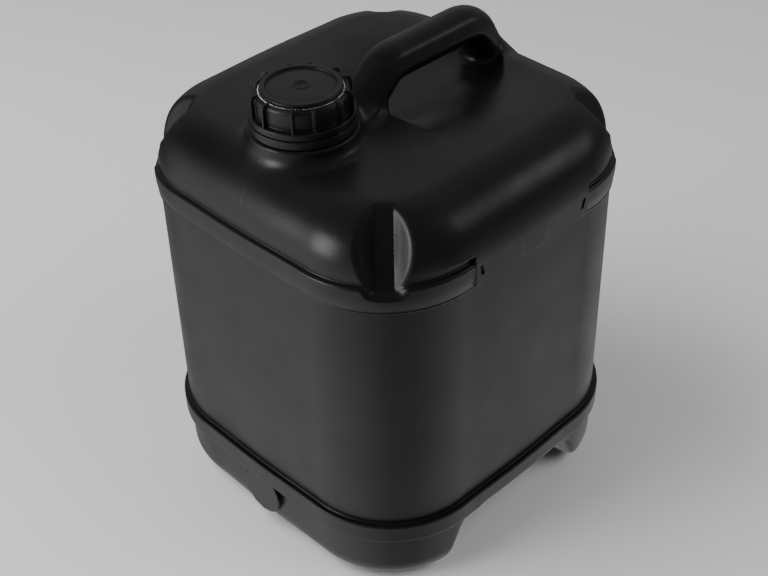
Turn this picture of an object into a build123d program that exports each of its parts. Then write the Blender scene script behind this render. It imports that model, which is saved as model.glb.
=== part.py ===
"""A 20 litre stackable jerry can with a tamper-evident screw cap.

Frame: origin at the middle of the footprint on the floor, +Z up, the handle along Y
and the neck towards -Y. Lengths are in millimetres.
"""

from build123d import *
from math import atan2, degrees
import os

# ---------------------------------------------------------------- driving dimensions
# tank
half_width = 140.0
corner_radius = 75.0
side_bulge = 1.2
deck_height = 330.5
shoulder_radius = 38.0
foot_radius = 22.0
wall = 2.4

# reinforcing bands round the tank
lower_band_bottom = 49.6
lower_band_top = 65.8
lower_band_proud = 4.3
upper_band_bottom = 264.6
upper_band_full = 274.0
upper_band_top = 285.6
upper_band_proud = 2.8

# raised pad that carries the shoulder over the band in the middle of each side face
pad_half_length = 59.0
pad_bottom = 266.8
pad_proud = 4.0
pad_bend = 280.0
pad_top = 294.0

# groove down each corner of the shoulder
groove_high = (126.2, 330.0)
groove_low = (169.7, 275.9)
groove_end = 279.0
groove_floor = 11.6
groove_mouth = 41.0
groove_depth = 13.1
groove_reach = 60.0

# channel under the base, along X
channel_height = 48.0
channel_top_half = 57.0
channel_foot_half = 80.0
channel_round = 14.0

# blank boss for a tap, low on the front
tap_radius = 20.0
tap_height = 36.0
tap_face = 145.2

# handle: its section is crowned on top, leans out down the sides and is round underneath
grip_route = [(-45.0, 313.8), (2.4, 356.5), (92.1, 356.5), (120.5, 306.0)]
grip_bends = (20.0, 26.0)
grip_above = 13.5
grip_below = 14.0
grip_top_edge = (13.2, 6.5)
grip_low_edge = (17.0, -3.5)
grip_edge_round = 2.5
foot_low = 316.0
foot_high = 338.0
foot_half_low = 26.0
foot_half_high = 16.0
front_foot_low = (-46.0, -11.0)
front_foot_high = (-43.0, -12.5)
back_foot_low = (108.0, 132.0)
back_foot_high = (94.0, 118.0)
foot_corner = 6.0

# dish for the fingers under the grip: a trough along the grip with steep ends
dish_floor = 318.0
dish_across = 87.0
dish_front = -12.0
dish_corner = (50.0, 75.0)
dish_back = (15.0, 110.0)
dish_end_round = 8.0

# neck
neck_y = -76.5
collar_radius = 38.2
collar_top = 341.5
collar_blend = 8.0
collar_sink = 25.0
bore_depth = 50.0
bore_radius = 25.0
neck_root = 28.3
neck_base = 30.5
neck_top = 367.0
bead_radius = 33.6
bead_bottom = 345.2
bead_top = 347.4
bead_flat = 0.9
neck_edge = 0.8

# thread shared by the neck and the cap
pitch = 4.0
thread_height = 11.0
thread_start = 351.5
neck_crest = 30.0
cap_crest = 29.0
thread_flank = 2.2
thread_tip = 1.1

# cap
cap_bore = 30.7
skirt_radius = 33.0
skirt_bottom = 349.5
flange_radius = 37.0
flange_top = 354.5
rim_radius = 28.4
cap_top = 372.0
recess_radius = 24.5
recess_depth = 1.5
fin_radius = 36.3
fin_thickness = 1.6
fin_corner = 4.2
fin_drop = 1.0
fin_angles = [first + 60 * n for n in range(6) for first in (-88.0, -52.5)]
dimple_radius = 5.0
dimple_lip = 0.5
dimple_depth = 0.6
cap_edge = 0.5
skirt_round = 0.7
shoulder_drops = (4.0, 2.7, 2.0, 1.4)

# tamper ring
ring_bottom = 343.0
ring_top = 349.0
ring_inner = 34.3
ring_outer = 37.6
ring_lip_inner = 31.6
ring_lip_height = 1.5
bridge_count = 8
bridge_width = 2.0
bridge_thickness = 1.6
bridge_root = 0.5
bridge_gap = 0.1

# sealing disc
disc_radius = 29.9
disc_thickness = 2.0

os.makedirs("parts", exist_ok=True)
neck_plane = Plane.XY.move(Location((0, neck_y, 0)))


def plan_outline(grown):
    """The tank's plan, a square with round corners and slightly full sides, grown outwards."""
    straight = half_width - corner_radius
    reach = half_width + grown
    with BuildSketch() as plan:
        with BuildLine():
            side = ThreePointArc((-straight, reach), (0, reach + side_bulge), (straight, reach))
            corner = TangentArc((straight, reach), (reach, straight), tangent=side % 1)
            for quarter in (90, 180, 270):
                add(side.rotate(Axis.Z, quarter))
                add(corner.rotate(Axis.Z, quarter))
        make_face()
    return plan.sketch


def dish_form(grown):
    """The space of the dish under the grip, grown outwards."""
    axis_height = dish_floor + dish_across
    with BuildPart() as dish:
        with BuildSketch(Plane.YZ):
            with BuildLine():
                Polyline(
                    (dish_front - grown, axis_height),
                    (dish_front - grown, dish_floor - grown),
                    (dish_back[1] + grown, dish_floor - grown),
                    (dish_back[1] + grown, axis_height),
                    close=True,
                )
            make_face()
            fillet(vertices().group_by(Axis.Y)[0], radius=dish_end_round + grown)
        revolve(axis=Axis((0, 0, axis_height), (0, 1, 0)))
        with BuildSketch(Plane.XY.offset(dish_floor - grown)):
            with BuildLine():
                half_wide, corner_y = dish_corner[0] + grown, dish_corner[1] + grown / 2
                half_back, back_y = dish_back[0] + grown / 2, dish_back[1] + grown
                Polyline(
                    (-half_wide, dish_front - grown),
                    (half_wide, dish_front - grown),
                    (half_wide, corner_y),
                    (half_back, back_y),
                    (-half_back, back_y),
                    (-half_wide, corner_y),
                    close=True,
                )
            make_face()
        extrude(amount=deck_height - dish_floor + 2 * grown, mode=Mode.INTERSECT)
    return dish.part


def tank_form(inset):
    """The closed outline of the tank, moved inwards everywhere by inset."""
    groove_run = groove_low[0] - groove_high[0]
    groove_fall = groove_high[1] - groove_low[1]
    slope = Vector(groove_run * 0.5**0.5, groove_run * 0.5**0.5, -groove_fall)
    middle = (groove_low[0] + groove_high[0]) / 2 * 0.5**0.5
    groove_plane = Plane(
        origin=(middle, middle, (groove_low[1] + groove_high[1]) / 2),
        x_dir=(-1, 1, 0),
        z_dir=slope,
    )
    with BuildPart() as form:
        with BuildSketch(Plane.XY.offset(inset)):
            add(plan_outline(-inset))
        extrude(amount=deck_height - 2 * inset)
        fillet(form.faces().sort_by(Axis.Z)[-1].edges(), radius=shoulder_radius - inset)
        fillet(form.faces().sort_by(Axis.Z)[0].edges(), radius=foot_radius - inset)

        with BuildSketch(Plane.XY.offset(lower_band_bottom + inset)):
            add(plan_outline(lower_band_proud - inset))
        extrude(amount=lower_band_top - lower_band_bottom - 2 * inset)

        with BuildSketch(Plane.XY.offset(upper_band_full)):
            add(plan_outline(upper_band_proud - inset))
        extrude(amount=upper_band_top - upper_band_full - inset)
        with BuildSketch(Plane.XY.offset(upper_band_full)):
            add(plan_outline(upper_band_proud - inset))
        flare = degrees(atan2(upper_band_proud, upper_band_full - upper_band_bottom))
        extrude(amount=upper_band_bottom - upper_band_full, taper=flare)

        with BuildSketch(Plane.XZ.offset(-pad_half_length + inset)):
            with BuildLine():
                Polyline(
                    (0, pad_bottom + inset),
                    (half_width + pad_proud - inset, pad_bottom + inset),
                    (half_width + pad_proud - inset, pad_bend),
                    (half_width - 2 - inset, pad_top),
                    (0, pad_top),
                    close=True,
                )
            make_face()
        extrude(amount=2 * (pad_half_length - inset))
        mirror(about=Plane.YZ)

        # corner grooves
        with BuildSketch(groove_plane) as groove:
            with BuildLine():
                floor_half = groove_floor / 2 + inset
                widen = (groove_mouth / 2 - groove_floor / 2) / groove_depth
                rise = 3 * groove_depth
                Polyline(
                    (-floor_half, -inset),
                    (floor_half, -inset),
                    (floor_half + widen * rise, rise - inset),
                    (-floor_half - widen * rise, rise - inset),
                    close=True,
                )
            make_face()
        grooves = extrude(amount=groove_reach, both=True, mode=Mode.PRIVATE)
        groove_foot = Plane.XY.offset(groove_end - inset)
        grooves = split(grooves, bisect_by=groove_foot, keep=Keep.TOP, mode=Mode.PRIVATE)
        for turn in range(4):
            add(grooves.rotate(Axis.Z, 90 * turn), mode=Mode.SUBTRACT)

        # base channel
        with BuildSketch(Plane.YZ):
            with BuildLine() as channel:
                Polyline(
                    (-channel_foot_half - inset, -1),
                    (-channel_top_half - inset, channel_height + inset),
                    (channel_top_half + inset, channel_height + inset),
                    (channel_foot_half + inset, -1),
                    close=True,
                )
            make_face()
            fillet(vertices().group_by(Axis.Y)[-1], radius=channel_round + inset)
        extrude(amount=2 * half_width, both=True, mode=Mode.SUBTRACT)

        add(dish_form(inset), mode=Mode.SUBTRACT)
    return form.part


def handle_form(inset):
    """The grip and its two legs, reaching down into the tank, moved inwards by inset."""
    with BuildPart() as form:
        with BuildLine(Plane.YZ) as route:
            FilletPolyline(*grip_route, radius=grip_bends)
        with BuildSketch(Plane(origin=route.line @ 0, x_dir=(1, 0, 0), z_dir=route.line % 0)):
            with BuildLine():
                top_x, top_y = grip_top_edge
                low_x, low_y = grip_low_edge
                ThreePointArc((-top_x, top_y), (0, grip_above), (top_x, top_y))
                Line((top_x, top_y), (low_x, low_y))
                ThreePointArc((low_x, low_y), (0, -grip_below), (-low_x, low_y))
                Line((-low_x, low_y), (-top_x, top_y))
            make_face()
            fillet(vertices(), radius=grip_edge_round)
            if inset:
                offset(amount=-inset, mode=Mode.REPLACE)
        sweep()
    return form.part


def thread(root_radius, crest_radius, first_height):
    """A trapezoid ridge wound round the neck axis, pointing from the root to the crest."""
    sink = 0.3 if crest_radius > root_radius else -0.3
    path = Helix(pitch, thread_height, root_radius, center=(0, neck_y, first_height))
    with BuildPart() as ridge:
        with BuildSketch(Plane(origin=path @ 0, x_dir=(1, 0, 0), z_dir=(0, 1, 0))):
            with BuildLine():
                Polyline(
                    (-sink, -thread_flank / 2),
                    (crest_radius - root_radius, -thread_tip / 2),
                    (crest_radius - root_radius, thread_tip / 2),
                    (-sink, thread_flank / 2),
                    close=True,
                )
            make_face()
        sweep(path=path, is_frenet=True)
    return ridge.part


def turned(points):
    """A solid turned about the neck axis from (radius, height) points."""
    with BuildPart() as solid:
        with BuildSketch(Plane.XZ.offset(-neck_y)):
            with BuildLine():
                Polyline(*points, close=True)
            make_face()
        revolve(axis=Axis((0, neck_y, 0), (0, 0, 1)))
    return solid.part


def foot_form(low, high):
    """A flared foot for one leg of the handle, spanning low and high along Y at its two ends."""
    with BuildPart() as form:
        with BuildSketch(Plane.XY.offset(foot_low)):
            with Locations((0, (low[0] + low[1]) / 2)):
                RectangleRounded(2 * foot_half_low, low[1] - low[0], foot_corner)
        with BuildSketch(Plane.XY.offset(foot_high)):
            with Locations((0, (high[0] + high[1]) / 2)):
                RectangleRounded(2 * foot_half_high, high[1] - high[0], foot_corner)
        loft()
    return form.part


# ---------------------------------------------------------------- container body
with BuildPart() as container_body:
    add(tank_form(0))
    with BuildSketch(neck_plane.offset(deck_height - collar_sink)):
        Circle(collar_radius)
    extrude(amount=collar_top - deck_height + collar_sink)
    collar_foot = container_body.edges(Select.NEW).filter_by(
        lambda edge: deck_height - collar_sink < edge.bounding_box().max.Z < deck_height + 1
    )
    fillet(collar_foot, radius=collar_blend)
    add(handle_form(0))
    add(foot_form(front_foot_low, front_foot_high))
    add(foot_form(back_foot_low, back_foot_high))

    # blank boss for a tap
    with BuildSketch(Plane.XZ.offset(tap_face)):
        with Locations((0, tap_height)):
            Circle(tap_radius)
    extrude(amount=-(tap_face - half_width + foot_radius))

    # hollow inside
    add(tank_form(wall), mode=Mode.SUBTRACT)
    add(handle_form(wall), mode=Mode.SUBTRACT)

    # neck with its bead and thread
    with BuildSketch(neck_plane.offset(collar_top)):
        Circle(bore_radius + 1)
    extrude(amount=-bore_depth, mode=Mode.SUBTRACT)
    add(
        turned(
            [
                (bore_radius, collar_top - collar_blend),
                (neck_base, collar_top - collar_blend),
                (neck_base, bead_bottom),
                (bead_radius, bead_bottom + bead_flat / 2),
                (bead_radius, bead_top - bead_flat),
                (neck_root, bead_top),
                (neck_root, neck_top - neck_edge),
                (neck_root - neck_edge, neck_top),
                (bore_radius, neck_top),
            ]
        )
    )
    add(thread(neck_root, neck_crest, thread_start))

container_body.part.label = "container_body"
export_step(container_body.part, "parts/container_body.step")

# ---------------------------------------------------------------- screw cap
inside_top = neck_top + disc_thickness
panel_top = cap_top - recess_depth
with BuildPart() as screw_cap:
    add(
        turned(
            [
                (0, inside_top),
                (cap_bore, inside_top),
                (cap_bore, skirt_bottom),
                (flange_radius - cap_edge, skirt_bottom),
                (flange_radius, skirt_bottom + cap_edge),
                (flange_radius, flange_top - cap_edge),
                (flange_radius - cap_edge, flange_top),
                (skirt_radius, flange_top),
                (skirt_radius, cap_top - shoulder_drops[0]),
                (skirt_radius - skirt_round, cap_top - shoulder_drops[1]),
                (rim_radius + cap_edge, cap_top - shoulder_drops[2]),
                (rim_radius, cap_top - shoulder_drops[3]),
                (rim_radius, cap_top - cap_edge),
                (rim_radius - cap_edge, cap_top),
                (recess_radius + cap_edge, cap_top),
                (recess_radius, panel_top),
                (dimple_radius + 2 * dimple_lip, panel_top),
                (dimple_radius + dimple_lip, panel_top + dimple_lip),
                (dimple_radius, panel_top + dimple_lip),
                (dimple_radius - 2 * dimple_lip, panel_top - dimple_depth),
                (0, panel_top - dimple_depth),
            ]
        )
    )

    # grip fins in six pairs
    fin_top = cap_top - fin_drop
    with BuildSketch(Plane.XZ.offset(fin_thickness / 2)):
        with BuildLine():
            outside = Line((fin_radius, flange_top - cap_edge), (fin_radius, fin_top - fin_corner))
            TangentArc(outside @ 1, (fin_radius - fin_corner, fin_top), tangent=outside % 1)
            Polyline(
                (fin_radius - fin_corner, fin_top),
                (rim_radius - 1, fin_top),
                (rim_radius - 1, inside_top + cap_edge),
                (skirt_radius - 1, inside_top + cap_edge),
                (skirt_radius - 1, flange_top - cap_edge),
                (fin_radius, flange_top - cap_edge),
            )
        make_face()
    fin = extrude(amount=-fin_thickness, mode=Mode.PRIVATE)
    for angle in fin_angles:
        add(fin.rotate(Axis.Z, angle).moved(Location((0, neck_y, 0))))

    # internal thread, half a turn away from the thread of the neck
    add(thread(cap_bore, cap_crest, thread_start + pitch / 2))

screw_cap.part.label = "screw_cap"
export_step(screw_cap.part, "parts/screw_cap.step")

# ---------------------------------------------------------------- tamper ring
with BuildPart() as tamper_ring:
    add(
        turned(
            [
                (ring_lip_inner, ring_bottom + 0.4),
                (ring_lip_inner + 0.4, ring_bottom),
                (ring_outer - 0.6, ring_bottom),
                (ring_outer, ring_bottom + 0.6),
                (ring_outer, ring_top - 0.6),
                (ring_outer - 0.6, ring_top),
                (ring_inner, ring_top),
                (ring_inner, ring_bottom + ring_lip_height),
                (ring_lip_inner, ring_bottom + ring_lip_height),
            ]
        )
    )
    with BuildSketch(neck_plane.offset(ring_top - bridge_root)):
        with PolarLocations((ring_inner + ring_outer) / 2, bridge_count):
            Rectangle(bridge_thickness, bridge_width)
    extrude(amount=skirt_bottom - bridge_gap - ring_top + bridge_root)

tamper_ring.part.label = "tamper_ring"
export_step(tamper_ring.part, "parts/tamper_ring.step")

# ---------------------------------------------------------------- sealing disc
with BuildPart() as sealing_disc:
    with BuildSketch(neck_plane.offset(neck_top)):
        Circle(disc_radius)
    extrude(amount=disc_thickness)

sealing_disc.part.label = "sealing_disc"
export_step(sealing_disc.part, "parts/sealing_disc.step")
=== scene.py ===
"""A black 20 litre jerry can on a pale studio floor.

Every visible piece is a closed surface drawn from a distance field: a function that gives
the distance in metres from a point to the piece, negative inside. The fields are written
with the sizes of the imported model, and meshed by surface_piece.
"""

from math import cos, pi, radians, sin, tau

import bpy
import numpy as np
from mathutils import Matrix, Vector


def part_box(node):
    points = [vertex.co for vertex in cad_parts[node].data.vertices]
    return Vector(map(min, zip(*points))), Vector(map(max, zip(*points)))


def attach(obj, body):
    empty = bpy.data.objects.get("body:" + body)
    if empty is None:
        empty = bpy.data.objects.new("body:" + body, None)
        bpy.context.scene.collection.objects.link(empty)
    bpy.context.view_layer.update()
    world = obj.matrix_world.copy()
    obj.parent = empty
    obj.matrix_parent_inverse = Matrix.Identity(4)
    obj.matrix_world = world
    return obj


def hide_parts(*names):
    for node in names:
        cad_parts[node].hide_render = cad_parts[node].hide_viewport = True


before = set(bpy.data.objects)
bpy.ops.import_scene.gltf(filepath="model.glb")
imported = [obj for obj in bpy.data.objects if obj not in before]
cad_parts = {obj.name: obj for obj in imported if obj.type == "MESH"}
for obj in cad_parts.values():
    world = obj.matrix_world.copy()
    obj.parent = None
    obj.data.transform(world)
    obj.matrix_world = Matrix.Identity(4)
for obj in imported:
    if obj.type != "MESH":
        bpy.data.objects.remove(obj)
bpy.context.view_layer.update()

# ------------------------------------------------------------------ sizes, in metres
body_low, body_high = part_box("container_body")
cap_low, cap_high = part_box("screw_cap")
ring_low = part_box("tamper_ring")[0]
disc_low, disc_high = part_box("sealing_disc")

WALL = 0.0024
LOW_BAND = (0.0496, 0.0658)
HIGH_BAND = (0.2656, 0.2856)
LOW_BAND_PROUD = 0.0043
HIGH_BAND_PROUD = 0.0028
BULGE = 0.0012
HALF = body_high.x - LOW_BAND_PROUD - BULGE
CORNER = 0.075
FOOT_ROUND = 0.022
PAD_HALF_LENGTH = 0.0590
PAD_BOTTOM = 0.2668
MARK_OUT, MARK_ALONG, MARK_HEIGHT = 0.0044, 0.0530, 0.2780
SHOULDER = 0.0385
SHOULDER_BOTTOM = 0.2780
DECK = 0.3300
DISH_DEPTH = 0.0100
DISH_HALF_WIDTH = 0.090
GROOVE_HEAD, GROOVE_WAY = (0.1355, 0.3300), (0.0282, -0.0510)
GROOVE_BOTTOM = 0.2790
CHANNEL_TOP = 0.048
CHANNEL_HALF_WIDTH = 0.057
BOSS_HEIGHT, BOSS_RADIUS = 0.036, 0.020

GRIP_MIDDLE = body_high.z - 0.0139
GRIP_FRONT, GRIP_FRONT_WAY = 0.0024, (0.0474, 0.0427)
GRIP_BACK, GRIP_BACK_WAY = 0.0921, (0.0284, -0.0505)
GRIP_FRONT_BEND, GRIP_BACK_BEND = 0.020, 0.026

NECK_Y = (cap_low.y + cap_high.y) / 2
NECK_TOP = disc_low.z
NECK_RADIUS = 0.0283
BORE = 0.0250
BEAD_RADIUS, BEAD_BOTTOM = 0.0336, 0.3453
COLLAR_RADIUS = 0.0393
COLLAR_TOP = ring_low.z - 0.0007
PITCH = 0.0040
THREAD_START = cap_low.z + 0.0020
THREAD_HEIGHT = 0.0110
THREAD_FADE = 0.0012

CAP_TOP = cap_high.z
CAP_INSIDE_TOP = disc_high.z
CAP_BORE = 0.0307
SKIRT_RADIUS, SKIRT_BOTTOM = 0.0330, cap_low.z
FLANGE_RADIUS, FLANGE_HEIGHT = 0.0370, 0.0050
FIN_RADIUS = 0.0362
FIN_ANGLES = (-88.0, -52.5)
RECESS_RADIUS = 0.0243
RING_RADIUS = 0.03595
RING_BOTTOM = ring_low.z
DISC_RADIUS = 0.0298

# how finely the surfaces are sampled
BODY_CELL = 0.0012
CAVITY_CELL = 0.004
NECK_CELL = 0.0006
CAP_CELL = 0.0005
RING_CELL = 0.0004
DISC_CELL = 0.0006
BLOCK = 4


# ------------------------------------------------------------------ field tools
def round_max(a, b, radius):
    """The common part of two solids, its edge rounded to radius."""
    corner = np.hypot(np.maximum(a + radius, 0), np.maximum(b + radius, 0))
    return np.minimum(np.maximum(a, b), -radius) + corner


def blend_min(a, b, width):
    """Two solids joined, with a concave blend of this width."""
    near = np.maximum(width - np.abs(a - b), 0)
    return np.minimum(a, b) - near * near / (4 * width)


def blend_cut(a, b, width):
    """The first solid less the second, its new edges blended over this width."""
    return -blend_min(-a, b, width)


def half_plane(u, v, point, along):
    """Distance to the line through point along a direction, positive to its left."""
    length = np.hypot(*along)
    return (along[0] * (v - point[1]) - along[1] * (u - point[0])) / length


def smooth_step(value, start, end):
    t = np.clip((value - start) / (end - start), 0, 1)
    return t * t * (3 - 2 * t)


def from_neck(x, y):
    """Distance from the axis of the neck."""
    return np.hypot(x, y - NECK_Y)


def round_neck(x, y):
    """Angle round the axis of the neck."""
    return np.arctan2(y - NECK_Y, x)


# ------------------------------------------------------------------ the container body
def plan_distance(x, y):
    """Distance outwards from the upright wall: a square with round corners and full sides."""
    straight = HALF - CORNER
    qx = np.abs(x) - straight
    qy = np.abs(y) - straight
    square = np.hypot(np.maximum(qx, 0), np.maximum(qy, 0))
    square = square + np.minimum(np.maximum(qx, qy), 0) - CORNER
    across = np.clip(np.minimum(np.abs(x), np.abs(y)) / straight, 0, 1)
    return square - BULGE * (1 - across**2) ** 2


def drop_off(distance, width):
    """From 0 to 1 over a width: a crisp lip at the start and a soft landing."""
    t = distance / width
    t = np.clip(0.5 * (t + np.sqrt(t * t + 0.015)), 0, 1)
    return 1 - (1 - t) ** 2


def deck_height(x, y):
    """Height of the top, slightly crowned, with the dish for the fingers under the grip.

    The dish has steep ends near the legs of the grip. They turn into long ramps sideways.
    """
    crown = 0.0010 * (1 - (np.square(x) + np.square(y)) / HALF**2)
    side = np.abs(x)
    depth = DISH_DEPTH * np.maximum(1 - np.square(side / DISH_HALF_WIDTH), 0) ** 2
    aside = smooth_step(side, 0.028, 0.065)
    front = (1 - aside) * drop_off(y + 0.0130, 0.010) + aside * smooth_step(y, -0.045, 0.045)
    aside = smooth_step(side, 0.016, 0.055)
    back = (1 - aside) * drop_off((0.1250 - side - y) / 2**0.5, 0.012)
    back += aside * (1 - smooth_step(y, 0.020, 0.120))
    return DECK + crown - depth * front * back


def shoulder_field(a, z, top, fullness):
    """The rounded shoulder; where it is full it swells out over the band, an ellipse in section."""
    wide = SHOULDER + 0.0042 * fullness
    tall = SHOULDER + 0.0075 * fullness
    u = (a + 0.0393) / wide
    v = (z - top) / tall + 1
    reach = np.hypot(np.maximum(u, 0), np.maximum(v, 0)) + np.minimum(np.maximum(u, v), 0)
    return (reach - 1) * wide


def tank_field(x, y, z):
    """The tank with its bands; flat pads carry the shoulder down over the upper band.

    Beyond the ends of the pads the shoulder overhangs the ledge of the band, and sinks back
    towards the corners.
    """
    a = plan_distance(x, y)
    bottom, top = LOW_BAND
    tank = round_max(round_max(a, -z, FOOT_ROUND), z - HIGH_BAND[1] + 0.0010, 0.0010)
    band = round_max(round_max(a - LOW_BAND_PROUD, z - top, 0.0013), bottom - z, 0.0013)
    tank = blend_min(tank, band, 0.0012)
    bottom, top = HIGH_BAND
    slope = half_plane(a, z, (0.0013, bottom), (-0.0015, -0.0084))
    band = round_max(round_max(a - HIGH_BAND_PROUD, z - top, 0.0024), slope, 0.0006)
    band = round_max(band, bottom - z, 0.0004)
    tank = blend_min(tank, band, 0.0008)
    bead = np.hypot(a - 0.0009, z - bottom - 0.0002) - 0.0010
    bead = np.maximum(bead, PAD_HALF_LENGTH - np.abs(y))
    tank = blend_min(tank, bead, 0.0006)
    top = deck_height(x, y)
    shoulder = np.maximum(shoulder_field(a, z, top, 0), SHOULDER_BOTTOM - z)
    tank = blend_min(tank, shoulder, 0.0012)
    full = shoulder_field(a, z, top, 1 - smooth_step(np.abs(y), 0.060, 0.096))
    end = round_max(PAD_BOTTOM - z, np.abs(y) - PAD_HALF_LENGTH, 0.0004)
    return np.minimum(tank, round_max(full, np.minimum(end, 0.2918 - z), 0.0006))


def corner_groove_field(x, y, z):
    """The recess down each corner of the shoulder: a flat floor between sides in two slopes."""
    out = (np.abs(x) + np.abs(y)) / 2**0.5
    across = np.abs(np.abs(y) - np.abs(x)) / 2**0.5
    floor = half_plane(out, z, GROOVE_HEAD, GROOVE_WAY)
    foot = half_plane(across, floor, (0.0062, 0), (-0.0026, -0.0018))
    side = half_plane(across, floor, (0.0086, 0.0017), (-0.0110, -0.0100))
    side = round_max(foot, side, 0.0006)
    side = round_max(-floor, side, 0.0002)
    return round_max(side, GROOVE_BOTTOM - z, 0.0040)


def base_channel_field(y, z):
    """The channel under the base, which clears the handle and cap of the can below."""
    side = half_plane(np.abs(y), z, (CHANNEL_HALF_WIDTH, CHANNEL_TOP), (-0.023, CHANNEL_TOP))
    return round_max(z - CHANNEL_TOP, -side, 0.014)


def arch_height(y, z):
    """Distance outwards from the middle line of the handle, seen from the side."""
    front_way, back_way = Vector(GRIP_FRONT_WAY).normalized(), Vector(GRIP_BACK_WAY).normalized()
    level = Vector((1, 0))
    front = half_plane(y, z, (GRIP_FRONT, GRIP_MIDDLE), front_way)
    back = half_plane(y, z, (GRIP_BACK, GRIP_MIDDLE), back_way)
    height = np.maximum(np.maximum(front, z - GRIP_MIDDLE), back)
    bends = (
        (GRIP_FRONT, front_way, level, GRIP_FRONT_BEND),
        (GRIP_BACK, level, back_way, GRIP_BACK_BEND),
    )
    for place, way_in, way_out, radius in bends:
        inward = (way_out - way_in).normalized()
        centre = Vector((place, GRIP_MIDDLE)) + inward * (radius / cos(way_in.angle(way_out) / 2))
        u, v = y - centre[0], z - centre[1]
        past = (u * way_in[0] + v * way_in[1] > 0) & (u * way_out[0] + v * way_out[1] < 0)
        outer = past & (u * inward[0] + v * inward[1] < 0)
        height = np.where(outer, np.hypot(u, v) - radius, height)
    return height


def grip_field(x, y, z):
    """The handle: crowned on top, leaning out down its sides, round underneath."""
    height = arch_height(y, z)
    wide = np.abs(x) - 0.0022 * (1 - smooth_step(z, 0.326, 0.350))
    crown = np.hypot(x, height + 0.0030) - 0.0165
    side = half_plane(wide, height, (0.0133, 0.0065), (0.0037, -0.0100))
    under = np.hypot(x, height - 0.0050) - 0.0190
    grip = round_max(round_max(crown, side, 0.0006), under, 0.0028)
    edge = -0.0115 + 0.0080 * (1 - np.square(x / 0.0170))
    web = round_max(y - edge, wide - 0.0165, 0.0030)
    web = np.maximum(np.maximum(web, height), -0.040 - y)
    return np.maximum(np.minimum(grip, web), 0.305 - z)


def body_field(x, y, z):
    body = tank_field(x, y, z)
    body = blend_cut(body, corner_groove_field(x, y, z), 0.0034)
    body = blend_cut(body, base_channel_field(y, z), 0.006)
    collar = round_max(from_neck(x, y) - COLLAR_RADIUS, z - COLLAR_TOP, 0.0018)
    collar = np.maximum(collar, 0.30 - z)
    top = blend_min(body, collar, 0.010)
    ends = 1 - smooth_step(y, -0.030, -0.012) + smooth_step(y, 0.060, 0.085)
    top = blend_min(top, grip_field(x, y, z), 0.005 + 0.008 * ends)
    boss = np.hypot(x, z - BOSS_HEIGHT) - BOSS_RADIUS
    boss = round_max(np.maximum(boss, y + 0.11), body_low.y + 0.0006 - y, 0.0012)
    return blend_min(top, boss, 0.0005)


def cavity_field(x, y, z):
    """The inside of the can, a wall's thickness within the tank, with the bore of the neck."""
    tank = blend_cut(tank_field(x, y, z), corner_groove_field(x, y, z), 0.0026)
    tank = blend_cut(tank, base_channel_field(y, z), 0.006) + WALL
    bore = np.maximum(from_neck(x, y) - BORE - 0.0008, np.abs(z - 0.3240) - 0.0240)
    return np.minimum(tank, bore)


def pad_mark_field(x, y, z):
    """The small slanted recesses near the ends of the side pads."""
    along = np.abs(y) - MARK_ALONG - 0.25 * (z - MARK_HEIGHT)
    mark = round_max(np.abs(along) - 0.0016, np.abs(z - MARK_HEIGHT) - 0.0042, 0.0010)
    return round_max(mark, np.abs(np.abs(x) - HALF - MARK_OUT) - 0.0024, 0.0004)


# ------------------------------------------------------------------ neck, cap, ring and disc
def thread_ridge(x, y, z, start, root, crest):
    """A screw ridge from the root radius to the crest, fading at both ends."""
    radius = from_neck(x, y)
    angle = round_neck(x, y) % tau
    climb = z - start - PITCH * angle / tau
    turn = np.round(climb / PITCH)
    progress = PITCH * (turn + angle / tau)
    fade = smooth_step(progress, 0, THREAD_FADE)
    fade = fade * (1 - smooth_step(progress, THREAD_HEIGHT - THREAD_FADE, THREAD_HEIGHT))
    tall = 1 if crest > root else -1
    out = (radius - root) * tall
    flank = np.abs(climb - turn * PITCH) - (0.0011 - 0.30 * out)
    tip = out - np.abs(crest - root) * fade
    return round_max(np.maximum(flank * 0.95, -0.0006 - out), tip, 0.0002)


def neck_field(x, y, z):
    """The mouth of the can: a stepped tube with the bead that holds the ring, and the thread."""
    radius = from_neck(x, y)
    base = round_max(radius - 0.0305, z - 0.3460, 0.0002)
    over = half_plane(radius, z, (BEAD_RADIUS, 0.3466), (-0.0053, 0.0009))
    bead = round_max(round_max(radius - BEAD_RADIUS, -over, 0.0003), BEAD_BOTTOM - z, 0.0003)
    tube = round_max(radius - NECK_RADIUS, z - NECK_TOP, 0.0008)
    neck = np.minimum(np.minimum(base, tube), bead)
    ridge = thread_ridge(x, y, z, THREAD_START, NECK_RADIUS, 0.0300)
    neck = np.minimum(neck, np.maximum(ridge, z - NECK_TOP + 0.0010))
    neck = round_max(neck, BORE - radius, 0.0005)
    return np.maximum(neck, COLLAR_TOP - 0.008 - z)


def fin_field(x, y, z):
    """The grip fins of the cap, in six pairs."""
    radius = from_neck(x, y)
    angle = round_neck(x, y)
    outline = round_max(radius - FIN_RADIUS, z - CAP_TOP + 0.0010, 0.0042)
    fins = np.full(np.shape(radius), 1.0)
    for first in FIN_ANGLES:
        off = (angle - radians(first) + pi / 6) % (pi / 3) - pi / 6
        fins = np.minimum(fins, np.abs(radius * np.sin(off)) - 0.0009)
    fin = round_max(fins, outline, 0.0005)
    return np.maximum(np.maximum(fin, 0.0290 - radius), SKIRT_BOTTOM + 0.004 - z)


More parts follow.
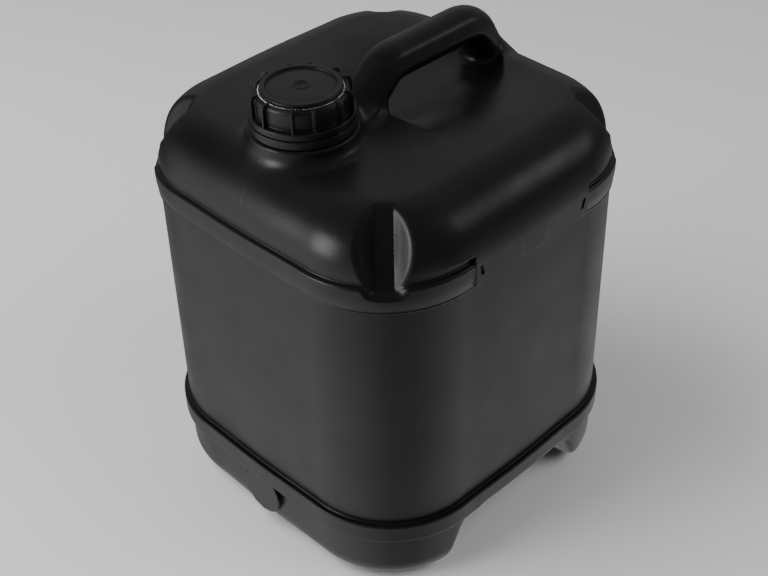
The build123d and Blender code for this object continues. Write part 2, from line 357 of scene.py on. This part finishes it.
def cap_field(x, y, z):
    """The cap: a finned skirt on a flange, and a recessed top with a dimple in a round lip."""
    radius = from_neck(x, y)
    skirt = round_max(radius - SKIRT_RADIUS, z - CAP_TOP + 0.0018, 0.0040)
    flange = round_max(radius - FLANGE_RADIUS, z - SKIRT_BOTTOM - FLANGE_HEIGHT, 0.0009)
    shell = blend_min(skirt, flange, 0.0008)
    shell = blend_min(shell, fin_field(x, y, z), 0.0008)
    groove = np.hypot(radius - 0.0291, z - CAP_TOP + 0.0016) - 0.0012
    shell = np.maximum(shell, -groove)
    rim = round_max(radius - 0.0284, z - CAP_TOP, 0.0012)
    shell = np.minimum(shell, np.maximum(rim, CAP_INSIDE_TOP - z))
    panel = CAP_TOP - 0.0016 + 0.0011 * (1 - np.square(radius / 0.0240))
    recess = round_max(radius - RECESS_RADIUS, panel - z, 0.0007)
    shell = blend_cut(shell, recess, 0.0008)
    lip = np.hypot(radius - 0.0052, (z - CAP_TOP + 0.0008) * 1.2) - 0.0009
    shell = blend_min(shell, lip, 0.0006)
    dimple = np.hypot(radius, z - CAP_TOP - 0.0085) - 0.0100
    shell = blend_cut(shell, np.maximum(dimple, radius - 0.0047), 0.0004)
    bore = round_max(radius - CAP_BORE, z - CAP_INSIDE_TOP, 0.0006)
    ridge = thread_ridge(x, y, z, THREAD_START + PITCH / 2, CAP_BORE, 0.0290)
    shell = np.minimum(np.maximum(shell, -bore), np.maximum(ridge, z - CAP_INSIDE_TOP))
    return round_max(shell, SKIRT_BOTTOM - z, 0.0005)


def ring_field(x, y, z):
    """The tamper ring, hooked in under the bead, with the stubs of its broken bridges."""
    radius = from_neck(x, y)
    height = z - RING_BOTTOM
    band = round_max(np.abs(radius - RING_RADIUS) - 0.00165, np.abs(height - 0.0030) - 0.0030, 0.0006)
    lip = round_max(np.abs(radius - 0.0335) - 0.0019, np.abs(height - 0.00075) - 0.00075, 0.0003)
    angle = (round_neck(x, y) + pi / 8) % (pi / 4) - pi / 8
    bridge = round_max(np.abs(radius * np.sin(angle)) - 0.0010, np.abs(radius - 0.0360) - 0.0008, 0.0003)
    bridge = round_max(bridge, np.abs(height - 0.0054) - 0.0010, 0.0003)
    return blend_min(np.minimum(band, lip), bridge, 0.0003)


def disc_field(x, y, z):
    """The foam wad, a plain disc between the neck and the top of the cap."""
    middle = (disc_low.z + disc_high.z) / 2
    half = (disc_high.z - disc_low.z) / 2
    return round_max(from_neck(x, y) - DISC_RADIUS, np.abs(z - middle) - half, 0.0004)


# ------------------------------------------------------------------ meshing
def gradient(field, points, reach):
    """Slope of the field at each point, by central differences."""
    slope = np.empty_like(points)
    for axis in range(3):
        step = np.zeros(3)
        step[axis] = reach
        ahead = field(*(points + step).T)
        behind = field(*(points - step).T)
        slope[:, axis] = (ahead - behind) / (2 * reach)
    return slope


def settle(field, points, cell, rounds):
    """Points moved onto the surface."""
    for _ in range(rounds):
        value = field(*points.T)
        slope = gradient(field, points, 0.08 * cell)
        size = np.maximum(np.einsum("ij,ij->i", slope, slope), 0.25)
        step = np.clip(value / size, -0.7 * cell, 0.7 * cell)
        points = points - slope * step[:, None]
    return points


def sample_signs(field, low, cell, count):
    """True at each grid point inside the solid; only blocks near the surface are sampled fully."""
    side = cell * BLOCK
    grid = np.stack(np.meshgrid(*[np.arange(n) for n in count], indexing="ij"), -1)
    middle = low + (grid + 0.5) * side
    value = field(*middle.reshape(-1, 3).T).reshape(count)
    near = np.abs(value) < side * 1.5
    inside = value < 0
    for axis in range(3):
        inside = np.repeat(inside, BLOCK, axis=axis)
    inside = np.pad(inside, ((0, 1), (0, 1), (0, 1)), mode="edge")
    wanted = np.zeros(inside.shape, bool)
    starts = np.argwhere(near) * BLOCK
    for i in range(BLOCK + 1):
        for j in range(BLOCK + 1):
            for k in range(BLOCK + 1):
                wanted[starts[:, 0] + i, starts[:, 1] + j, starts[:, 2] + k] = True
    places = np.argwhere(wanted)
    inside[wanted] = field(*(low + places * cell).T) < 0
    return inside


def net_faces(inside, index):
    """One quad round each grid edge that crosses the surface, facing outwards."""
    faces = []
    for axis in range(3):
        u, v = (axis + 1) % 3, (axis + 2) % 3
        first = np.take(inside, range(inside.shape[axis] - 1), axis)
        second = np.take(inside, range(1, inside.shape[axis]), axis)
        at = np.argwhere(first != second)
        at = at[(at[:, u] > 0) & (at[:, v] > 0)]
        at = at[(at[:, u] < inside.shape[u] - 1) & (at[:, v] < inside.shape[v] - 1)]
        corners = []
        for du, dv in ((-1, -1), (0, -1), (0, 0), (-1, 0)):
            shifted = at.copy()
            shifted[:, u] += du
            shifted[:, v] += dv
            corners.append(index[tuple(shifted.T)])
        quads = np.stack(corners, -1)
        outward = first[tuple(at.T)]
        quads[~outward] = quads[~outward][:, ::-1]
        faces.append(quads)
    return np.concatenate(faces)


def net_surface(field, low, high, cell):
    """Points and quads of the field's zero surface inside a box."""
    low = np.array(low, float) - 1.5 * cell
    count = np.ceil((np.array(high, float) + 1.5 * cell - low) / (cell * BLOCK)).astype(int)
    inside = sample_signs(field, low, cell, count)
    mixed = np.zeros(np.array(inside.shape) - 1, int)
    for i in (0, 1):
        for j in (0, 1):
            for k in (0, 1):
                nx, ny, nz = mixed.shape
                mixed += inside[i : i + nx, j : j + ny, k : k + nz]
    active = (mixed > 0) & (mixed < 8)
    index = np.full(mixed.shape, -1)
    index[active] = np.arange(active.sum())
    points = low + (np.argwhere(active) + 0.5) * cell
    quads = net_faces(inside, index)
    points = settle(field, points, cell, 2)
    for _ in range(2):
        total = np.zeros_like(points)
        links = np.zeros(len(points))
        for side in range(4):
            here, there = quads[:, side], quads[:, (side + 1) % 4]
            for axis in range(3):
                total[:, axis] += np.bincount(here, points[there, axis], len(points))
                total[:, axis] += np.bincount(there, points[here, axis], len(points))
            links += np.bincount(here, minlength=len(points))
            links += np.bincount(there, minlength=len(points))
        points = 0.5 * points + 0.5 * total / links[:, None]
        points = settle(field, points, cell, 1)
    return settle(field, points, cell, 1), quads


def mesh_object(name, points, faces):
    """A new object from an array of points and an array of faces with one number of sides."""
    mesh = bpy.data.meshes.new(name)
    mesh.vertices.add(len(points))
    mesh.vertices.foreach_set("co", points.astype(np.float32).ravel())
    sides = faces.shape[1]
    mesh.loops.add(faces.size)
    mesh.loops.foreach_set("vertex_index", faces.astype(np.int32).ravel())
    mesh.polygons.add(len(faces))
    mesh.polygons.foreach_set("loop_start", np.arange(0, faces.size, sides, dtype=np.int32))
    mesh.update(calc_edges=True)
    thing = bpy.data.objects.new(name, mesh)
    bpy.context.scene.collection.objects.link(thing)
    return thing


def apply_modifiers(thing):
    bpy.context.view_layer.update()
    graph = bpy.context.evaluated_depsgraph_get()
    made = bpy.data.meshes.new_from_object(thing.evaluated_get(graph))
    thing.modifiers.clear()
    old = thing.data
    thing.data = made
    bpy.data.meshes.remove(old)
    made.name = thing.name


def thin_out(thing, faces):
    """Merges faces where the surface is flat, down to about this many triangles."""
    have = sum(len(p.vertices) - 2 for p in thing.data.polygons)
    if have <= faces:
        return
    thin = thing.modifiers.new("thin", "DECIMATE")
    thin.ratio = faces / have
    apply_modifiers(thing)


def combine(thing, other, operation):
    """A boolean of two closed meshes; the other one is used up."""
    cut = thing.modifiers.new("cut", "BOOLEAN")
    cut.operation = operation
    cut.solver = "MANIFOLD"
    cut.object = other
    apply_modifiers(thing)
    bpy.data.objects.remove(other)


def read_points(mesh):
    points = np.empty(len(mesh.vertices) * 3, np.float32)
    mesh.vertices.foreach_get("co", points)
    return points.reshape(-1, 3).astype(float)


def field_normals(thing, fields, cell):
    """Smooth shading: each face corner takes the slope of the surface that suits its face."""
    mesh = thing.data
    points = read_points(mesh)
    corner = np.empty(len(mesh.loops), np.int32)
    mesh.loops.foreach_get("vertex_index", corner)
    flat = np.empty(len(mesh.polygons) * 3, np.float32)
    mesh.polygons.foreach_get("normal", flat)
    sides = np.empty(len(mesh.polygons), np.int32)
    mesh.polygons.foreach_get("loop_total", sides)
    flat = np.repeat(flat.reshape(-1, 3), sides, axis=0)
    normals = flat.copy()
    best = np.full(len(corner), 0.6)
    for field, outward in fields:
        slope = outward * gradient(field, points, 0.1 * cell)
        slope /= np.maximum(np.linalg.norm(slope, axis=1), 1e-9)[:, None]
        match = np.einsum("ij,ij->i", slope[corner], flat)
        match[np.abs(field(*points.T))[corner] > 0.3 * cell] = 0
        better = match > best
        normals[better] = slope[corner][better]
        best[better] = match[better]
    mesh.shade_smooth()
    mesh.normals_split_custom_set(normals)


def surface_piece(name, field, low, high, cell, faces):
    """A closed mesh of the field's surface with about this many triangles."""
    points, quads = net_surface(field, low, high, cell)
    thing = mesh_object(name, points, quads)
    thin_out(thing, faces)
    mesh = thing.data
    points = settle(field, read_points(mesh), cell, 1)
    mesh.vertices.foreach_set("co", points.astype(np.float32).ravel())
    mesh.update()
    return thing


# ------------------------------------------------------------------ camera, light and floor
DIM = 0.09


def aim(thing, target):
    way = Vector(target) - thing.location
    thing.rotation_euler = way.to_track_quat("-Z", "Y").to_euler()


def add_camera():
    """The photograph's view: from between the front and the right side, well above."""
    azimuth, elevation, roll = radians(45.90), radians(37.93), radians(-1.57)
    target, distance = Vector((0.0214, -0.0253, 0.182)), 1.054
    right = Vector((cos(azimuth), sin(azimuth), 0))
    back = Vector((sin(azimuth) * cos(elevation), -cos(azimuth) * cos(elevation), sin(elevation)))
    up = back.cross(right)
    across = cos(roll) * right + sin(roll) * up
    upward = cos(roll) * up - sin(roll) * right
    camera = bpy.data.cameras.new("camera")
    camera.sensor_width = 36
    camera.lens = 64.85
    camera.clip_start, camera.clip_end = 0.05, 20
    thing = bpy.data.objects.new("camera", camera)
    bpy.context.scene.collection.objects.link(thing)
    place = Matrix((across, upward, back)).transposed().to_4x4()
    place.translation = target + distance * back
    thing.matrix_world = place
    bpy.context.scene.camera = thing


def add_area(name, place, target, width, height, power, in_reflections=True):
    light = bpy.data.lights.new(name, "AREA")
    light.shape = "RECTANGLE"
    light.size, light.size_y, light.energy = width, height, power
    thing = bpy.data.objects.new(name, light)
    bpy.context.scene.collection.objects.link(thing)
    thing.location = place
    thing.visible_glossy = in_reflections
    aim(thing, target)


def add_floor():
    reach, gap = 6, 0.0002
    corners = [(-reach, -reach, 0), (reach, -reach, 0), (reach, reach, 0), (-reach, reach, 0)]
    floor = mesh_object("studio_floor", np.array(corners, float), np.array([(0, 1, 2, 3)]))
    floor.location.z = -gap
    floor.visible_glossy = False
    floor.data.materials.append(floor_material())


def add_world():
    """A dim studio: soft glows towards the left, the floor and the back, dark elsewhere.

    Each glow has the way to its middle, the cosines of the angles from there where it starts
    and where it is full, and its strength.
    """
    world = bpy.data.worlds.new("studio")
    world.use_nodes = True
    tree = world.node_tree
    shader = tree.nodes["Background"]
    shader.inputs["Color"].default_value = (1, 1, 1, 1)
    place = tree.nodes.new("ShaderNodeTexCoord")
    total = DIM
    glows = (
        ((0.0, 0.0, -1.0), 0.35, 0.78, 0.43),
        ((-0.25, -0.85, -0.46), 0.60, 0.95, 0.45),
        ((-0.60, -0.79, -0.10), 0.80, 0.97, 0.45),
        ((-0.41, 0.71, 0.57), 0.55, 0.98, 0.17),
        ((-0.85, 0.40, 0.34), 0.75, 0.98, 0.10),
        ((0.50, 0.55, -0.67), 0.70, 0.95, 0.25),
        ((0.57, 0.69, 0.44), 0.968, 0.998, 2.0),
    )
    for way, start, end, strength in glows:
        facing = tree.nodes.new("ShaderNodeVectorMath")
        facing.operation = "DOT_PRODUCT"
        facing.inputs[1].default_value = way
        tree.links.new(place.outputs["Generated"], facing.inputs[0])
        glow = spread(tree, facing.outputs["Value"], (start, end), (0, strength))
        total = calculate(tree, "ADD", glow, total)
    tree.links.new(total, shader.inputs["Strength"])
    bpy.context.scene.world = world


# ------------------------------------------------------------------ materials
def new_material(name):
    """A node material, with its tree, its shader and the coordinates that its patterns use."""
    material = bpy.data.materials.new(name)
    material.use_nodes = True
    tree = material.node_tree
    place = tree.nodes.new("ShaderNodeTexCoord").outputs["Object"]
    return material, tree, tree.nodes["Principled BSDF"], place


def spread(tree, value, source, target):
    """A value carried over from one range to another, held at the ends."""
    node = tree.nodes.new("ShaderNodeMapRange")
    tree.links.new(value, node.inputs["Value"])
    node.inputs["From Min"].default_value, node.inputs["From Max"].default_value = source
    node.inputs["To Min"].default_value, node.inputs["To Max"].default_value = target
    return node.outputs["Result"]


def noise(tree, place, scale, detail, distortion=0.0):
    node = tree.nodes.new("ShaderNodeTexNoise")
    tree.links.new(place, node.inputs["Vector"])
    node.inputs["Scale"].default_value = scale
    node.inputs["Detail"].default_value = detail
    node.inputs["Distortion"].default_value = distortion
    return node.outputs["Fac"]


def mix_colour(tree, amount, first, second):
    node = tree.nodes.new("ShaderNodeMix")
    node.data_type = "RGBA"
    tree.links.new(amount, node.inputs[0])
    for socket, colour in ((node.inputs[6], first), (node.inputs[7], second)):
        if isinstance(colour, tuple):
            socket.default_value = (*colour, 1)
        else:
            tree.links.new(colour, socket)
    return node.outputs[2]


def calculate(tree, operation, first, second=0.0):
    node = tree.nodes.new("ShaderNodeMath")
    node.operation = operation
    for socket, value in zip(node.inputs, (first, second)):
        if isinstance(value, float):
            socket.default_value = value
        else:
            tree.links.new(value, socket)
    return node.outputs[0]


def bump(tree, height, distance, under=None):
    node = tree.nodes.new("ShaderNodeBump")
    node.inputs["Distance"].default_value = distance
    tree.links.new(height, node.inputs["Height"])
    if under is not None:
        tree.links.new(under, node.inputs["Normal"])
    return node.outputs["Normal"]


def body_material():
    """Black blow-moulded polyethylene: a fine grain, soft waves, a parting line and light rubbing."""
    material, tree, shader, place = new_material("black_moulded_plastic")
    link = tree.links.new
    cloud = spread(tree, noise(tree, place, 14, 4), (0.35, 0.65), (0, 1))
    colour = mix_colour(tree, cloud, (0.0040, 0.0040, 0.0043), (0.0064, 0.0063, 0.0066))
    rub = spread(tree, noise(tree, place, 90, 6, 1.5), (0.66, 0.80), (0, 0.5))
    link(mix_colour(tree, rub, colour, (0.020, 0.020, 0.020)), shader.inputs["Base Color"])
    patch = spread(tree, noise(tree, place, 35, 5), (0.3, 0.7), (0.29, 0.38))
    rough = calculate(tree, "ADD", patch, calculate(tree, "MULTIPLY", rub, 0.12))
    link(rough, shader.inputs["Roughness"])
    parts = tree.nodes.new("ShaderNodeSeparateXYZ")
    link(place, parts.inputs["Vector"])
    seam = spread(tree, calculate(tree, "ABSOLUTE", parts.outputs["X"]), (0.0002, 0.0008), (1, 0))
    normal = bump(tree, noise(tree, place, 11, 1), 0.0016)
    normal = bump(tree, seam, 0.00005, normal)
    normal = bump(tree, noise(tree, place, 700, 2), 0.00006, normal)
    link(normal, shader.inputs["Normal"])
    return material


def cap_material():
    """Black injection-moulded polyethylene, smoother than the can."""
    material, tree, shader, place = new_material("black_cap_plastic")
    link = tree.links.new
    cloud = spread(tree, noise(tree, place, 60, 4), (0.35, 0.65), (0, 1))
    colour = mix_colour(tree, cloud, (0.0050, 0.0050, 0.0053), (0.0085, 0.0084, 0.0086))
    link(colour, shader.inputs["Base Color"])
    link(spread(tree, noise(tree, place, 120, 5), (0.3, 0.7), (0.32, 0.44)), shader.inputs["Roughness"])
    normal = bump(tree, noise(tree, place, 40, 2), 0.0003)
    link(bump(tree, noise(tree, place, 1500, 2), 0.00003, normal), shader.inputs["Normal"])
    return material


def foam_material():
    """Pale closed-cell foam."""
    material, tree, shader, place = new_material("white_foam")
    link = tree.links.new
    cells = noise(tree, place, 2200, 3)
    link(mix_colour(tree, cells, (0.62, 0.61, 0.58), (0.84, 0.83, 0.80)), shader.inputs["Base Color"])
    link(spread(tree, cells, (0.3, 0.7), (0.75, 0.92)), shader.inputs["Roughness"])
    link(bump(tree, cells, 0.00012), shader.inputs["Normal"])
    return material


def floor_material():
    """A pale matt studio floor."""
    material, tree, shader, place = new_material("studio_floor")
    link = tree.links.new
    cloud = noise(tree, place, 3, 3)
    link(mix_colour(tree, cloud, (0.80, 0.80, 0.80), (0.84, 0.84, 0.84)), shader.inputs["Base Color"])
    link(spread(tree, cloud, (0.3, 0.7), (0.65, 0.80)), shader.inputs["Roughness"])
    return material


add_camera()
add_floor()
add_world()
add_area("front_softbox", (-0.42, -1.50, 0.56), (0, 0, 0.25), 0.60, 0.75, 7)
add_area("overhead", (-0.8, -1.0, 1.6), (0, 0, 0), 1.6, 1.6, 42, in_reflections=False)
add_area("back_fill", (1.3, 0.7, 1.3), (0.3, 0.2, 0), 1.2, 1.2, 16, in_reflections=False)

# ------------------------------------------------------------------ the pieces
def finish_piece(thing, node, body, material):
    """Gives the piece its one material and its place in the frame."""
    thing.data.materials.clear()
    thing.data.materials.append(material)
    thing.data.polygons.foreach_set("material_index", [0] * len(thing.data.polygons))
    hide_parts(node)
    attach(thing, body)


def add_body():
    """The outside shell less its cavity, with the neck joined on."""
    high = (body_high.x, body_high.y, body_high.z)
    body = surface_piece("can_body", body_field, body_low, high, BODY_CELL, 160000)
    top = (body_high.x, body_high.y, 0.350)
    hollow = surface_piece("cavity", cavity_field, body_low, top, CAVITY_CELL, 20000)
    combine(body, hollow, "DIFFERENCE")
    around = BEAD_RADIUS + 0.0009
    low = (-around, NECK_Y - around, COLLAR_TOP - 0.009)
    top = (around, NECK_Y + around, NECK_TOP)
    combine(body, surface_piece("neck", neck_field, low, top, NECK_CELL, 30000), "UNION")
    for sx in (-1, 1):
        for sy in (-1, 1):
            place = sorted((sx * 0.138, sx * 0.148)), sorted((sy * 0.048, sy * 0.058))
            low, top = zip(*place)
            low, top = (*low, MARK_HEIGHT - 0.006), (*top, MARK_HEIGHT + 0.006)
            combine(body, surface_piece("mark", pad_mark_field, low, top, 0.0005, 2000), "DIFFERENCE")
    fields = ((body_field, 1), (cavity_field, -1), (neck_field, 1), (pad_mark_field, -1))
    field_normals(body, fields, 0.0013)
    finish_piece(body, "container_body", "can", body_material())


def add_turned(name, field, cell, faces, node, body, material):
    """A piece round the axis of the neck, which stands for one node."""
    low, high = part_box(node)
    thing = surface_piece(name, field, low, high, cell, faces)
    field_normals(thing, ((field, 1),), cell)
    finish_piece(thing, node, body, material)


add_body()
cap_black = cap_material()
foam = foam_material()
add_turned("cap", cap_field, CAP_CELL, 110000, "screw_cap", "cap", cap_black)
add_turned("ring", ring_field, RING_CELL, 40000, "tamper_ring", "ring", cap_black)
add_turned("disc", disc_field, DISC_CELL, 12000, "sealing_disc", "wad", foam)
